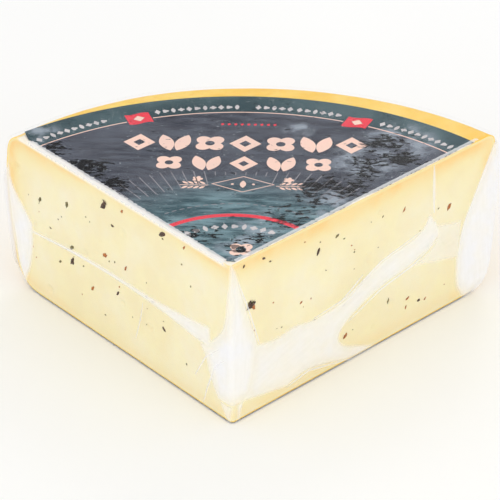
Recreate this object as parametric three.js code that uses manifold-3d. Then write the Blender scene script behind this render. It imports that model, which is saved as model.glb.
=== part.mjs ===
// A wedge cut from a round, semi-hard cheese wheel, with the paper label of the wheel's top cut
// along with it, packed in a close-fitting bag of clear film.
//
// Millimetres, +Z up. The wedge lies as it is sold, label up, with its tip towards -Y and its rind
// towards +Y. The cuts meet a little to one side of the wheel's middle, so the right cut is the
// longer one. The origin is the middle of the pack's footprint, at the height of the surface that
// it lies on.

import * as THREE from 'three';
import { mergeVertices, toCreasedNormals } from 'three/addons/utils/BufferGeometryUtils.js';
import Module from 'manifold-3d';

const wasm = await Module();
wasm.setup();

// The cheese
const WHEEL_RADIUS = 152.9; // of the whole wheel, at its belly
const WHEEL_MIDDLE = new THREE.Vector2(3.7, 3.9); // of the wheel, from where the two cuts meet
const CHEESE_HEIGHT = 75;
const WEDGE_ANGLE = THREE.MathUtils.degToRad(86);
const TIP_ROUND = 1.5;

// The wheel's outline: a round foot, a side that swells to a belly, and a tighter round shoulder.
// A reach is how far in from the belly the flat side begins, and an inset is how far in from the
// belly the round corner ends.
const FOOT_HEIGHT = 14;
const FOOT_REACH = 20;
const FOOT_INSET = 3.5;
const FOOT_PULL = 1.7; // how far the foot's corner is drawn in, to run smoothly into the side
const BELLY_HEIGHT = 50;
const BELLY_SWELL = 1.6;
const SHOULDER_INSET = 1.5;
const TIGHT_SHOULDER = { height: 4, reach: 4.5 };
const WORN_SHOULDER = { height: 9, reach: 11 }; // at the left cut, where the edge is more worn
const WEAR_START = THREE.MathUtils.degToRad(8); // to the left of straight ahead

// The label
const LABEL_RADIUS = 143.5;
const LABEL_THICKNESS = 0.3;

// The film bag
const FILM_THICKNESS = 0.3;
const CLEARANCE = 0.3; // between pieces that touch
const SEAM_THICKNESS = 0.8; // the bag's end seal, folded flat against the rind side
const SEAM_BOTTOM = 27;
const SEAM_WIDTH = 11;
const SEAM_END_GAP = 5;
const MOUTH_WIDTH = 12;
const MOUTH_HEIGHT = 1;
const MOUTH_DEPTH = 8; // enough to pass right through the wall

// Heights that follow from the sizes above
const CHEESE_BOTTOM = FILM_THICKNESS + CLEARANCE;
const CHEESE_TOP = CHEESE_BOTTOM + CHEESE_HEIGHT;
const LABEL_BOTTOM = CHEESE_TOP + CLEARANCE;
const FILM_INNER_TOP = LABEL_BOTTOM + LABEL_THICKNESS + CLEARANCE;
const PACK_HEIGHT = FILM_INNER_TOP + FILM_THICKNESS;

// Fineness of the faceting
const WHEEL_SEGMENTS = 120;
const OUTLINE_SEGMENTS = 8;
const CREASE = THREE.MathUtils.degToRad(30);

function toSolid(geometry) {
  geometry.deleteAttribute('normal');
  geometry.deleteAttribute('uv');
  const merged = mergeVertices(geometry);
  const corners = merged.index.array;
  const triangles = [];
  for (let i = 0; i < corners.length; i += 3) {
    const [a, b, c] = corners.slice(i, i + 3);
    if (a !== b && b !== c && c !== a) triangles.push(a, b, c);
  }
  return new wasm.Manifold(new wasm.Mesh({
    numProp: 3,
    vertProperties: new Float32Array(merged.attributes.position.array),
    triVerts: new Uint32Array(triangles),
  }));
}

function toMesh(name, solid, look) {
  const { vertProperties, triVerts } = solid.getMesh();
  const geometry = new THREE.BufferGeometry();
  geometry.setAttribute('position', new THREE.BufferAttribute(vertProperties, 3));
  geometry.setIndex(new THREE.BufferAttribute(triVerts, 1));
  const material = new THREE.MeshStandardMaterial(look);
  const mesh = new THREE.Mesh(toCreasedNormals(geometry, CREASE), material);
  mesh.name = name;
  return mesh;
}

// Half of the wheel's outline, from the axis at the bottom round to the axis at the top.
function wheelOutline(radius, bottom, top, shoulder) {
  const footTop = radius - FOOT_INSET;
  const shoulderSide = radius - SHOULDER_INSET;
  const outline = new THREE.Path();
  outline.moveTo(0, bottom);
  outline.lineTo(radius - FOOT_REACH, bottom);
  outline.quadraticCurveTo(footTop - FOOT_PULL, bottom, footTop, bottom + FOOT_HEIGHT);
  outline.quadraticCurveTo(radius + BELLY_SWELL, BELLY_HEIGHT, shoulderSide, top - shoulder.height);
  outline.quadraticCurveTo(shoulderSide, top, shoulderSide - shoulder.reach, top);
  outline.lineTo(0, top);
  return outline.getPoints(OUTLINE_SEGMENTS);
}

// How worn the shoulder is at a place on the wheel: 0 where it is tight, 1 at the left cut.
function shoulderWear(x, y) {
  const left = Math.atan2(-x, y);
  const share = THREE.MathUtils.clamp((left - WEAR_START) / (WEDGE_ANGLE / 2 - WEAR_START), 0, 1);
  return share * share;
}

// The whole wheel, or a film around it, lying on its flat side.
function wheel(radius, bottom, top) {
  const tight = wheelOutline(radius, bottom, top, TIGHT_SHOULDER);
  const worn = wheelOutline(radius, bottom, top, WORN_SHOULDER);
  const turned = new THREE.LatheGeometry(tight, WHEEL_SEGMENTS, Math.PI);
  turned.rotateX(Math.PI / 2);
  const corners = turned.attributes.position;
  for (let i = 0; i < corners.count; i += 1) {
    const step = i % tight.length;
    const turn = Math.atan2(corners.getX(i), corners.getY(i));
    const wear = tight[step].x > 0 ? shoulderWear(corners.getX(i), corners.getY(i)) : 0;
    const reach = THREE.MathUtils.lerp(tight[step].x, worn[step].x, wear);
    const height = THREE.MathUtils.lerp(tight[step].y, worn[step].y, wear);
    corners.setXYZ(i, reach * Math.sin(turn), reach * Math.cos(turn), height);
  }
  return toSolid(turned.translate(WHEEL_MIDDLE.x, WHEEL_MIDDLE.y, 0));
}

// The space between the two cuts, its faces moved out by grow, with the tip rounded to suit.
function cutSpace(grow, bottom, top) {
  const half = WEDGE_ANGLE / 2;
  const tipCentre = TIP_ROUND / Math.sin(half);
  const reach = WHEEL_RADIUS * 2;
  const across = Math.sin(half) * reach;
  const along = Math.cos(half) * reach;
  const round = TIP_ROUND + grow;
  const right = new THREE.Vector2(Math.cos(half) * round, tipCentre - Math.sin(half) * round);
  const shape = new THREE.Shape();
  shape.moveTo(right.x, right.y);
  shape.lineTo(right.x + across, right.y + along);
  shape.lineTo(-right.x - across, right.y + along);
  shape.lineTo(-right.x, right.y);
  shape.absarc(0, tipCentre, round, Math.PI + half, Math.PI * 2 - half, false);
  const settings = { depth: top - bottom, bevelEnabled: false, curveSegments: OUTLINE_SEGMENTS };
  return toSolid(new THREE.ExtrudeGeometry(shape, settings).translate(0, 0, bottom));
}

// A wedge of the wheel, or of a film around the wheel that is grow away from the cheese.
function wedge(grow, bottom, top) {
  const whole = wheel(WHEEL_RADIUS + grow, bottom, top);
  return whole.intersect(cutSpace(grow, bottom - 1, top + 1));
}

// Cheese, rind and all: the rind is the outside of the same cheese, dried by its ripening.
function cheese() {
  const solid = wedge(0, CHEESE_BOTTOM, CHEESE_TOP);
  return toMesh('cheese', solid, { color: 0xf4e8c8, roughness: 0.55, metalness: 0 });
}

// The printed paper disc glued to the wheel's top, centred on the cuts, and cut with the cheese.
function label() {
  const disc = new THREE.CylinderGeometry(LABEL_RADIUS, LABEL_RADIUS, LABEL_THICKNESS, WHEEL_SEGMENTS);
  disc.rotateX(Math.PI / 2).translate(0, 0, LABEL_BOTTOM + LABEL_THICKNESS / 2);
  const solid = toSolid(disc).intersect(cutSpace(0, CHEESE_TOP, PACK_HEIGHT));
  return toMesh('label', solid, { color: 0x4c4e55, roughness: 0.7, metalness: 0 });
}

// The bag's end seal, folded down flat along the rind from one end of the wedge to the other.
function seam(radius) {
  const half = WEDGE_ANGLE / 2;
  const length = 2 * (Math.sin(half) * WHEEL_RADIUS - SEAM_END_GAP);
  const span = new THREE.BoxGeometry(length, WHEEL_RADIUS, SEAM_WIDTH);
  const nearEdge = Math.cos(half) * WHEEL_RADIUS;
  span.translate(WHEEL_MIDDLE.x, nearEdge + WHEEL_RADIUS / 2, SEAM_BOTTOM + SEAM_WIDTH / 2);
  return wheel(radius + SEAM_THICKNESS, 0, PACK_HEIGHT).intersect(toSolid(span));
}

// The gap left in the bag's mouth, just under the folded seal.
function mouth() {
  const gap = new THREE.BoxGeometry(MOUTH_WIDTH, MOUTH_DEPTH, MOUTH_HEIGHT);
  return toSolid(gap.translate(0, WHEEL_MIDDLE.y + WHEEL_RADIUS, SEAM_BOTTOM - MOUTH_HEIGHT));
}

// The film bag: a thin wall all round the cheese and its label. Its mouth isn't quite shut, so the
// bag is one open shell.
function filmBag() {
  const outerGrow = CLEARANCE + FILM_THICKNESS;
  const outside = wedge(outerGrow, 0, PACK_HEIGHT).add(seam(WHEEL_RADIUS + outerGrow));
  const inside = wedge(CLEARANCE, FILM_THICKNESS, FILM_INNER_TOP);
  const look = { color: 0xf2f2ee, roughness: 0.15, metalness: 0, transparent: true, opacity: 0.35 };
  return toMesh('film_bag', outside.subtract(inside).subtract(mouth()), look);
}

const pack = new THREE.Group();
pack.add(cheese(), label(), filmBag());

// Everything above is drawn with the two cuts meeting at x = y = 0; the origin moves to the
// footprint's middle here.
const extent = new THREE.Box3().setFromObject(pack);
pack.position.x = -(extent.min.x + extent.max.x) / 2;
pack.position.y = -(extent.min.y + extent.max.y) / 2;

export default pack;
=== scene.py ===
import math
import random

import bpy
import numpy as np
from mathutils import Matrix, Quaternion, Vector, noise


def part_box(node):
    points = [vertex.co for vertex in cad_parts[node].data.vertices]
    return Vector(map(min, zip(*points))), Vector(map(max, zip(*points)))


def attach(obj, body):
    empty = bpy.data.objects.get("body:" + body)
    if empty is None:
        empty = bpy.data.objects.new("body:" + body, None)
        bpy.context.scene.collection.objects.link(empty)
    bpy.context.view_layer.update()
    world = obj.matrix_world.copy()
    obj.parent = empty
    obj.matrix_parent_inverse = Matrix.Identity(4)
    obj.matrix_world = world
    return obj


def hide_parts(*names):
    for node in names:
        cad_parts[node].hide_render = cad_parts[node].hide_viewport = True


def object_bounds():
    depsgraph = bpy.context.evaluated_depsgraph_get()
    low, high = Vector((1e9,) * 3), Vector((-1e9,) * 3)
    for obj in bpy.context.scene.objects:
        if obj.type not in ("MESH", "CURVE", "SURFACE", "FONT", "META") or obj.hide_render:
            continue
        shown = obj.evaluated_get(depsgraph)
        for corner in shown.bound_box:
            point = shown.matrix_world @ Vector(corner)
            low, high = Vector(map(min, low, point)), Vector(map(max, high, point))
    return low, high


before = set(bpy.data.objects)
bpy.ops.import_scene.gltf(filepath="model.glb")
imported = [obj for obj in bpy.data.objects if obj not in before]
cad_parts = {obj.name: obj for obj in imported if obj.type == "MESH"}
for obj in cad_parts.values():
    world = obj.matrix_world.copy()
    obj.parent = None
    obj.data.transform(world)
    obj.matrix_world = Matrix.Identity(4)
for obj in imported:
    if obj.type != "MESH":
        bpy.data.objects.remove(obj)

cad_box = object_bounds()
MM = 0.001


# ---- The studio -----------------------------------------------------------------------------
# A white table top in a white light tent, with a soft lamp on each side and one behind. The camera
# has a long lens and looks down on the wedge from in front of its tip.

CAMERA_AIM = Vector((2.76, -17.27, 46.5)) * MM
CAMERA_AZIMUTH = math.radians(3.49)
CAMERA_ELEVATION = math.radians(30.86)
CAMERA_DISTANCE = 1.1713
CAMERA_LENS = 201.2  # focal length in mm
CAMERA_ROLL = math.radians(-0.74)
TABLE_DROP = 0.05 * MM  # how far the table top lies under the bag
TABLE_WIDTH = 8.0
TENT_BRIGHTNESS = 0.93
LAMPS = [  # place and width in metres, and power in watts
    ("left_lamp", (-1.0, -1.1, 0.4), 0.8, 2.6),
    ("right_lamp", (1.1, -0.9, 0.35), 0.8, 2.6),
    ("back_lamp", (0.2, 1.3, 1.0), 0.5, 1.5),
]


def new_material(name):
    """A material, its node tree and its Principled shader."""
    material = bpy.data.materials.new(name)
    material.use_nodes = True
    return material, material.node_tree, material.node_tree.nodes["Principled BSDF"]


def add_node(tree, kind, inputs, **settings):
    """A shader node with its settings. An input is a number, a colour or another node's output."""
    made = tree.nodes.new("ShaderNode" + kind)
    for name, value in settings.items():
        setattr(made, name, value)
    for socket, value in inputs.items():
        if isinstance(value, bpy.types.NodeSocket):
            tree.links.new(value, made.inputs[socket])
        else:
            made.inputs[socket].default_value = value
    return made


def places(tree):
    """Where a surface point is, in metres in the wedge's own frame."""
    return add_node(tree, "TexCoord", {}).outputs["Object"]


def fade(tree, value, start, end):
    """0 where value is at start, 1 where it is at end, and smooth between them."""
    ends = {"Value": value, "From Min": start, "From Max": end}
    return add_node(tree, "MapRange", ends, interpolation_type="SMOOTHSTEP").outputs["Result"]


def mottle(tree, where, size, low, high, detail=3.0, distortion=0.0):
    """A 0-to-1 mask in soft patches about size across, 1 where the noise is over high."""
    settings = {"Vector": where, "Scale": 1 / size, "Detail": detail, "Distortion": distortion}
    return fade(tree, add_node(tree, "TexNoise", settings).outputs["Fac"], low, high)


def mix_colours(tree, share, first, second):
    ends = {0: share, 6: first, 7: second}
    return add_node(tree, "Mix", ends, data_type="RGBA").outputs[2]


def rgb(red, green, blue):
    """A colour from 0-to-255 sRGB numbers, as the shaders want it."""
    def linear(level):
        level /= 255
        return level / 12.92 if level <= 0.04045 else ((level + 0.055) / 1.055) ** 2.4
    return linear(red), linear(green), linear(blue), 1.0


def deselect_all():
    bpy.ops.object.select_all(action="DESELECT")


def table_material():
    material, tree, shader = new_material("table_white")
    shade = mottle(tree, places(tree), 400 * MM, 0.3, 0.7)
    colour = mix_colours(tree, shade, rgb(250, 250, 249), rgb(253, 253, 252))
    tree.links.new(colour, shader.inputs["Base Color"])
    shader.inputs["Roughness"].default_value = 0.6
    return material


def soft_lamp(name, place, size, power):
    lamp = bpy.data.lights.new(name, "AREA")
    lamp.size = size
    lamp.energy = power
    stand = bpy.data.objects.new(name, lamp)
    stand.location = place
    stand.rotation_euler = (CAMERA_AIM - Vector(place)).to_track_quat("-Z", "Y").to_euler()
    bpy.context.scene.collection.objects.link(stand)


deselect_all()
bpy.ops.mesh.primitive_plane_add(size=TABLE_WIDTH, location=(0, 0, cad_box[0].z - TABLE_DROP))
table = bpy.context.object
table.name = "table"
bpy.ops.object.transform_apply(location=True, rotation=True, scale=True)
table.data.materials.append(table_material())

scene = bpy.context.scene
scene.view_settings.view_transform = "Standard"
tent = bpy.data.worlds.new("light_tent")
tent.use_nodes = True
tent.node_tree.nodes["Background"].inputs["Color"].default_value = (1.0, 1.0, 1.0, 1.0)
tent.node_tree.nodes["Background"].inputs["Strength"].default_value = TENT_BRIGHTNESS
scene.world = tent
for lamp in LAMPS:
    soft_lamp(*lamp)

lens = bpy.data.cameras.new("long_lens")
lens.lens = CAMERA_LENS
camera = bpy.data.objects.new("camera", lens)
level = math.cos(CAMERA_ELEVATION)
away = Vector((math.sin(CAMERA_AZIMUTH) * level, -math.cos(CAMERA_AZIMUTH) * level,
               math.sin(CAMERA_ELEVATION)))
camera.location = CAMERA_AIM + CAMERA_DISTANCE * away
camera.rotation_mode = "QUATERNION"
camera.rotation_quaternion = (-away).to_track_quat("-Z", "Y") @ Quaternion((0, 0, 1), CAMERA_ROLL)
scene.collection.objects.link(camera)
scene.camera = camera


# ---- The cheese -----------------------------------------------------------------------------
# A wedge cut by wire from a round wheel of semi-hard cheese: ivory, slightly moist paste that turns
# amber just under the dry yellow rind. The cuts are flat but for faint wire marks and small eyes.

HALF_ANGLE = math.radians(43)
TIP_ROUND = 1.5 * MM
WHEEL_RADIUS = 152.9 * MM
WHEEL_MIDDLE = Vector((3.7, 3.9)) * MM  # from where the two cuts meet
FOOT_HEIGHT = 14 * MM
FOOT_REACH = 20 * MM
FOOT_INSET = 3.5 * MM
FOOT_PULL = 1.7 * MM
BELLY_HEIGHT = 50 * MM
BELLY_SWELL = 1.6 * MM
SHOULDER_INSET = 1.5 * MM
TIGHT_SHOULDER = 4.6 * MM, 5.2 * MM  # height and reach
WORN_SHOULDER = 13 * MM, 15 * MM  # at the left cut, where the edge is more worn
WEAR_START = math.radians(8)  # to the left of straight ahead
CURVE_STEPS = 60
CHEESE_EDGE_ROUND = 0.8 * MM
SMOOTH_ANGLE = math.radians(40)  # faces that meet at less than this look like one surface

WIRE_MARKS = 0.05 * MM
CUT_WAVES = 0.12 * MM
CUT_INSET = 0.15 * MM  # how far the cuts stand in, so that no mark stands out
RELIEF_BORDER = 2.5 * MM  # along a cut's edges, where its relief fades out
RIND_DENTS = 0.3 * MM
RIND_GRAIN = 0.16 * MM
EYES_PER_CUT = 9
EYE_DEPTH = 0.4  # as a share of the eye's width

cheese_low, cheese_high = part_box("cheese")
label_low, label_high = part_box("label")
CHEESE_HEIGHT = cheese_high.z - cheese_low.z
TIP_CENTRE = TIP_ROUND / math.sin(HALF_ANGLE)
TIP_REACH = TIP_ROUND / math.tan(HALF_ANGLE)  # from the sharp corner to where the rounding ends
MEET_X = (label_low.x + label_high.x) / 2  # where the two cuts would meet in a sharp corner
MEET_Y = cheese_low.y - (TIP_CENTRE - TIP_ROUND)


def drawn_curve(start, towards, end):
    """Points on a curve from start to end that leaves and arrives along lines to towards."""
    t = np.linspace(0, 1, CURVE_STEPS + 1)[:, None]
    start, towards, end = np.array(start), np.array(towards), np.array(end)
    return (1 - t) ** 2 * start + 2 * t * (1 - t) * towards + t ** 2 * end


def wheel_outline(shoulder):
    """The rind from its foot to its shoulder, as radii and heights."""
    height, reach = shoulder
    foot_top = WHEEL_RADIUS - FOOT_INSET
    side = WHEEL_RADIUS - SHOULDER_INSET
    shoulder_at = CHEESE_HEIGHT - height
    return np.vstack([
        drawn_curve((WHEEL_RADIUS - FOOT_REACH, 0), (foot_top - FOOT_PULL, 0),
                    (foot_top, FOOT_HEIGHT)),
        drawn_curve((foot_top, FOOT_HEIGHT), (WHEEL_RADIUS + BELLY_SWELL, BELLY_HEIGHT),
                    (side, shoulder_at))[1:],
        drawn_curve((side, shoulder_at), (side, CHEESE_HEIGHT), (side - reach, CHEESE_HEIGHT))[1:]])


def rind_distances(turns, rises):
    """How far the rind is from where the cuts meet, for each angle to the right and each height."""
    tight, worn = wheel_outline(TIGHT_SHOULDER), wheel_outline(WORN_SHOULDER)
    distances = []
    for turn in turns:
        ahead = Vector((math.sin(turn), math.cos(turn)))
        off_middle = WHEEL_RADIUS * ahead - WHEEL_MIDDLE
        left = math.atan2(-off_middle.x, off_middle.y)
        wear = min(1.0, max(0.0, (left - WEAR_START) / (HALF_ANGLE - WEAR_START))) ** 2
        outline = tight + (worn - tight) * wear
        radii = np.interp(rises, outline[:, 1] / CHEESE_HEIGHT, outline[:, 0])
        aside = WHEEL_MIDDLE.x * ahead.y - WHEEL_MIDDLE.y * ahead.x
        distances.append(WHEEL_MIDDLE.dot(ahead) + np.sqrt(radii ** 2 - aside ** 2))
    return np.array(distances)


# The rind at every degree, a little past both cuts, and at heights closest near foot and shoulder
rind_turns = np.radians(np.linspace(-46, 46, 93))
rind_rises = (1 - np.cos(np.linspace(0, math.pi, 241))) / 2
rind_table = rind_distances(rind_turns, rind_rises)


def rind_distance(turn, rise):
    spot = float(np.interp(turn, rind_turns, np.arange(len(rind_turns))))
    first = min(int(spot), len(rind_turns) - 2)
    near, far = (np.interp(rise, rind_rises, rind_table[row]) for row in (first, first + 1))
    return float(near + (far - near) * (spot - first))


def corner_of(side, rise, proud):
    """The angle to a corner and the length of its cut, at a height, proud of the cheese."""
    lean = math.asin(proud / WHEEL_RADIUS)
    corner = HALF_ANGLE + lean
    return corner, (rind_distance(side * corner, rise) + proud) * math.cos(lean)


def skin_point(station, rise, proud):
    """Where a point of the wedge's skin is in plan, proud of the cheese.

    station runs from the tip at 0, along the cut to 1, and round the rind to its middle at 2.
    It is negative on the left side, seen from the tip.
    """
    side = math.copysign(1, station)
    corner, length = corner_of(side, rise, proud)
    if abs(station) > 1:
        turn = side * corner * (2 - abs(station))
        radius = rind_distance(turn, rise) + proud
        return MEET_X + radius * math.sin(turn), MEET_Y + radius * math.cos(turn)
    along = abs(station) * length
    if along < TIP_REACH:
        turn = (math.pi / 2 - HALF_ANGLE) * along / TIP_REACH
        x = side * (TIP_ROUND + proud) * math.sin(turn)
        return MEET_X + x, MEET_Y + TIP_CENTRE - (TIP_ROUND + proud) * math.cos(turn)
    x = side * (along * math.sin(HALF_ANGLE) + proud * math.cos(HALF_ANGLE))
    return MEET_X + x, MEET_Y + along * math.cos(HALF_ANGLE) - proud * math.sin(HALF_ANGLE)


def skin_rises(rows):
    """Heights for rows spaced evenly along the rind's outline, as shares of the height."""
    outline = wheel_outline(WORN_SHOULDER)
    run = np.r_[0, np.cumsum(np.linalg.norm(np.diff(outline, axis=0), axis=1))]
    return np.interp(np.linspace(0, run[-1], rows), run, outline[:, 1]) / CHEESE_HEIGHT


def edge_draw_in(below_top, edge_round):
    """How far a rounded top edge draws the wall in at a depth below the flat top."""
    short = max(0.0, edge_round - below_top)
    return edge_round - math.sqrt(edge_round ** 2 - short ** 2)


def stations_round(tip_steps, cut_steps, rind_steps):
    """Stations all round the wedge, from the tip by the right cut and the rind to the left cut."""
    tip_end = TIP_REACH / WHEEL_RADIUS
    half = list(np.linspace(0, tip_end, tip_steps + 1)[1:])
    half += list(np.linspace(tip_end, 1, cut_steps + 1)[1:])
    half += list(np.linspace(1, 2, rind_steps + 1)[1:])
    return [0.0] + half + [-station for station in reversed(half[:-1])]


def turn_faces_out():
    """Makes every face of the piece in hand point outwards."""
    bpy.ops.object.mode_set(mode="EDIT")
    bpy.ops.mesh.select_all(action="SELECT")
    bpy.ops.mesh.normals_make_consistent(inside=False)
    bpy.ops.object.mode_set(mode="OBJECT")


def draw_up_wedge(name, stations, rises, place):
    """A closed wedge, and each vertex's station and rise: a disc drawn up row by row, with every
    vertex then put in its place."""
    deselect_all()
    bpy.ops.mesh.primitive_circle_add(vertices=len(stations), radius=1, fill_type="NGON")
    piece = bpy.context.object
    piece.name = name
    bpy.ops.object.mode_set(mode="EDIT")
    for _ in rises[1:]:
        bpy.ops.mesh.extrude_region_move(TRANSFORM_OT_translate={"value": (0, 0, 1)})
    bpy.ops.object.mode_set(mode="OBJECT")
    spots = []
    for vertex in piece.data.vertices:
        turn = math.atan2(vertex.co.y, vertex.co.x) + math.pi / 2
        column = round(turn / (2 * math.pi) * len(stations)) % len(stations)
        spots.append((stations[column], rises[round(vertex.co.z)]))
        vertex.co = place(*spots[-1])
    turn_faces_out()
    bpy.ops.object.shade_smooth_by_angle(angle=SMOOTH_ANGLE)
    return piece, spots


def scatter_eyes(rng):
    """Small eyes and cracks in one cut, as places, widths and depths."""
    eyes = []
    for _ in range(EYES_PER_CUT):
        width = rng.uniform(1.2, 2.6) * MM
        along, height = rng.uniform(10, 146) * MM, rng.uniform(6, 69) * MM
        eyes.append((along, height, width, width * EYE_DEPTH))
    return eyes


def cut_relief(eyes, along, height):
    """How far a cut stands in from flat: wire marks, faint waves and the eyes."""
    marks = noise.noise(Vector((along * 18, height * 160, 3))) * WIRE_MARKS
    waves = noise.noise(Vector((along * 35, height * 35, 0))) * CUT_WAVES
    deep = 0.0
    for eye_along, eye_height, width, depth in eyes:
        off = math.hypot(along - eye_along, (height - eye_height) * 1.3) / width
        if off < 1:
            deep = max(deep, depth * (1 - off ** 2))
    return CUT_INSET + marks + waves + deep


def rind_relief(point):
    """How far the rind stands in from smooth: dents, and the grain left by brushing."""
    dents = noise.noise(Vector(point) * 70) * 0.5 + 0.5
    grain = noise.noise(Vector(point) * 420) * 0.5 + 0.5
    return dents * RIND_DENTS + grain * RIND_GRAIN


cheese_rng = random.Random(11)
right_eyes = scatter_eyes(cheese_rng) + [(12 * MM, 52 * MM, 2.6 * MM, 0.9 * MM)]
left_eyes = scatter_eyes(cheese_rng) + [(83 * MM, 68 * MM, 2.2 * MM, 0.8 * MM)]


def cheese_point(station, rise):
    height = CHEESE_HEIGHT * rise
    edge = edge_draw_in(CHEESE_HEIGHT - height, CHEESE_EDGE_ROUND)
    z = cheese_low.z + height
    x, y = skin_point(station, rise, -edge)
    if abs(station) > 1:
        inset = rind_relief((x, y, z)) + edge
    else:
        along = abs(station) * corner_of(math.copysign(1, station), rise, 0)[1]
        room = min(along, WHEEL_RADIUS - along, height, CHEESE_HEIGHT - height)
        share = min(1.0, room / RELIEF_BORDER)
        eyes = right_eyes if station > 0 else left_eyes
        inset = cut_relief(eyes, along, height) * share + edge
    x, y = skin_point(station, rise, -inset)
    return x, y, z


def paste_depths(piece):
    """Stores how far each point lies under the rind in mm, for the paste's colours."""
    points = np.array([vertex.co[:] for vertex in piece.data.vertices])
    points -= (MEET_X, MEET_Y, cheese_low.z)
    radii = np.hypot(points[:, 0], points[:, 1])
    turns = np.arctan2(points[:, 0], points[:, 1])
    rows = np.interp(turns, rind_turns, np.arange(len(rind_turns))).round().astype(int)
    heights = points[:, 2]
    depths = np.minimum(heights, CHEESE_HEIGHT - heights)
    for row in np.unique(rows):
        here = np.flatnonzero(rows == row)
        off = np.hypot(radii[here, None] - rind_table[row],
                       heights[here, None] - rind_rises * CHEESE_HEIGHT)
        depths[here] = np.minimum(depths[here], off.min(axis=1))
    attribute = piece.data.attributes.new("rind_depth", "FLOAT", "POINT")
    attribute.data.foreach_set("value", depths / MM)


def calc(tree, operation, a, b=0.0):
    return add_node(tree, "Math", {0: a, 1: b}, operation=operation).outputs[0]


def product(tree, first, *others):
    for other in others:
        first = calc(tree, "MULTIPLY", first, other)
    return first


def spread(tree, mask, low, high):
    """A 0-to-1 mask made to run from low to high."""
    return calc(tree, "ADD", product(tree, mask, high - low), low)


def plan_radius(tree, where):
    """How far a point is from where the two cuts meet, in plan."""
    middle = (-MEET_X, -MEET_Y, 0)
    flat = add_node(tree, "VectorMath", {0: where, 1: middle}, operation="ADD").outputs[0]
    flat = add_node(tree, "VectorMath", {0: flat, 1: (1, 1, 0)}, operation="MULTIPLY").outputs[0]
    return add_node(tree, "VectorMath", {0: flat}, operation="LENGTH").outputs["Value"]


def cheese_material():
    """Ivory paste, straw-coloured and then amber towards the rind, most of all in its upper half
    and at the far corners. The top is pale under the label, and a painted highlight makes the
    left cut pale along its top edge, where the film glares."""
    material, tree, shader = new_material("cheese_paste_and_rind")
    where = places(tree)
    depth = add_node(tree, "Attribute", {}, attribute_name="rind_depth").outputs["Fac"]
    axes = add_node(tree, "SeparateXYZ", {0: where}).outputs
    soft = mottle(tree, where, 28 * MM, 0.35, 0.65, detail=4)
    cloud = mottle(tree, where, 11 * MM, 0.4, 0.65, detail=5)
    fine = mottle(tree, where, 4 * MM, 0.3, 0.7, detail=6)
    paste = mix_colours(tree, soft, rgb(245, 236, 203), rgb(243, 230, 186))
    paste = mix_colours(tree, product(tree, cloud, 0.45), paste, rgb(248, 238, 190))
    paste = mix_colours(tree, product(tree, fine, 0.2), paste, rgb(240, 227, 184))

    ripening = calc(tree, "ADD", depth, product(tree, soft, 3.0))
    far_out = calc(tree, "MAXIMUM", fade(tree, axes["X"], -20 * MM, 30 * MM),
                   fade(tree, axes["X"], -62 * MM, -98 * MM))
    share = calc(tree, "DIVIDE", ripening, spread(tree, far_out, 6.0, 11.0))
    upper = spread(tree, fade(tree, axes["Z"], 20 * MM, 50 * MM), 0.35, 1.0)
    straw = product(tree, fade(tree, share, 2.0, 0.2), upper, 0.8)
    amber = product(tree, fade(tree, share, 1.0, 0.25), fade(tree, depth, 0.6, 2.2),
                    spread(tree, cloud, 0.55, 1.0), upper, spread(tree, soft, 0.45, 1.0))
    colour = mix_colours(tree, straw, paste, rgb(245, 224, 158))
    colour = mix_colours(tree, amber, colour, rgb(249, 200, 118))

    blotch = mottle(tree, where, 14 * MM, 0.35, 0.65, detail=5)
    speckle = mottle(tree, where, 2.5 * MM, 0.5, 0.75, detail=5)
    rind = mix_colours(tree, blotch, rgb(251, 201, 74), rgb(253, 213, 104))
    rind = mix_colours(tree, product(tree, speckle, 0.5), rind, rgb(244, 184, 72))
    colour = mix_colours(tree, fade(tree, depth, 0.7, 0.2), colour, rind)

    # Painted highlight: the left cut is painted pale from about 2.8 mm below its top edge, where
    # the film glares along the edge.
    on_left = fade(tree, axes["X"], MEET_X, MEET_X - 4 * MM)
    painted_edge_glare = fade(tree, axes["Z"], cheese_high.z - 2.8 * MM, cheese_high.z - 1.4 * MM)
    on_top = fade(tree, axes["Z"], cheese_high.z - 0.5 * MM, cheese_high.z - 0.1 * MM)
    on_top = calc(tree, "MAXIMUM", on_top, product(tree, on_left, painted_edge_glare))
    pale_under_label_and_glare = product(tree, on_top, fade(tree, plan_radius(tree, where), 144.5 * MM, 141 * MM))
    colour = mix_colours(tree, pale_under_label_and_glare, colour, rgb(250, 240, 222))
    tree.links.new(colour, shader.inputs["Base Color"])
    tree.links.new(spread(tree, fine, 0.42, 0.57), shader.inputs["Roughness"])
    grain = mottle(tree, where, 1.2 * MM, 0.2, 0.8, detail=8)
    bump = add_node(tree, "Bump", {"Height": grain, "Strength": 0.35, "Distance": 0.1 * MM})
    tree.links.new(bump.outputs[0], shader.inputs["Normal"])
    shader.inputs["Subsurface Weight"].default_value = 0.12
    shader.inputs["Subsurface Radius"].default_value = (1.0, 0.7, 0.35)
    shader.inputs["Subsurface Scale"].default_value = 3 * MM
    return material


cheese_stations = stations_round(tip_steps=4, cut_steps=130, rind_steps=58)
cheese, _ = draw_up_wedge("cheese_wedge", cheese_stations, skin_rises(rows=84), cheese_point)
paste_depths(cheese)
cheese.data.materials.append(cheese_material())
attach(cheese, "root")
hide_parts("cheese")


# ---- The truffle flecks ---------------------------------------------------------------------
# Chopped truffle stirred into the curd and cut through by the wire: thin dark, rust and olive
# slivers lying in the cuts, a few in clusters, each sunk into the paste.

FLECK_SINK = 0.12 * MM
FLECK_THICKNESS = 0.35 * MM
FLECK_ROUGHNESS = 0.9  # how far a sliver strays from a plain ball
SMALL_FLECKS = 30  # in each cut
LARGE_FLECK_SIZE = 1.18  # on the lengths given

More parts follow.
